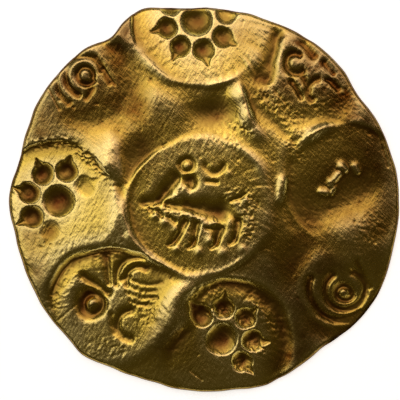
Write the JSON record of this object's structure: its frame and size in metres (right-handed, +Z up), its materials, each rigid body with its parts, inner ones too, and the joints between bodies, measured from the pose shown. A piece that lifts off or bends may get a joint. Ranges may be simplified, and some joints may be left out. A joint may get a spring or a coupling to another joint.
{
  "type": "punch-marked gold coin",
  "caption": "Thin hand-struck gold flan with an uneven round edge, a boar punch in the middle and lotus and scroll punches around it.",
  "frame": {"origin": "middle of the coin's outline, on the surface it lies on", "axes": "+Z up out of the marked side, +Y towards the top of the boar design, +X to its right"},
  "size_m": [0.0204, 0.02, 0.0011],
  "materials": {
    "gold": "hammered and worn gold, satin, with dark soil in the hollows"
  },
  "bodies": {
    "root": {"coin": "gold"}
  },
  "joints": []
}
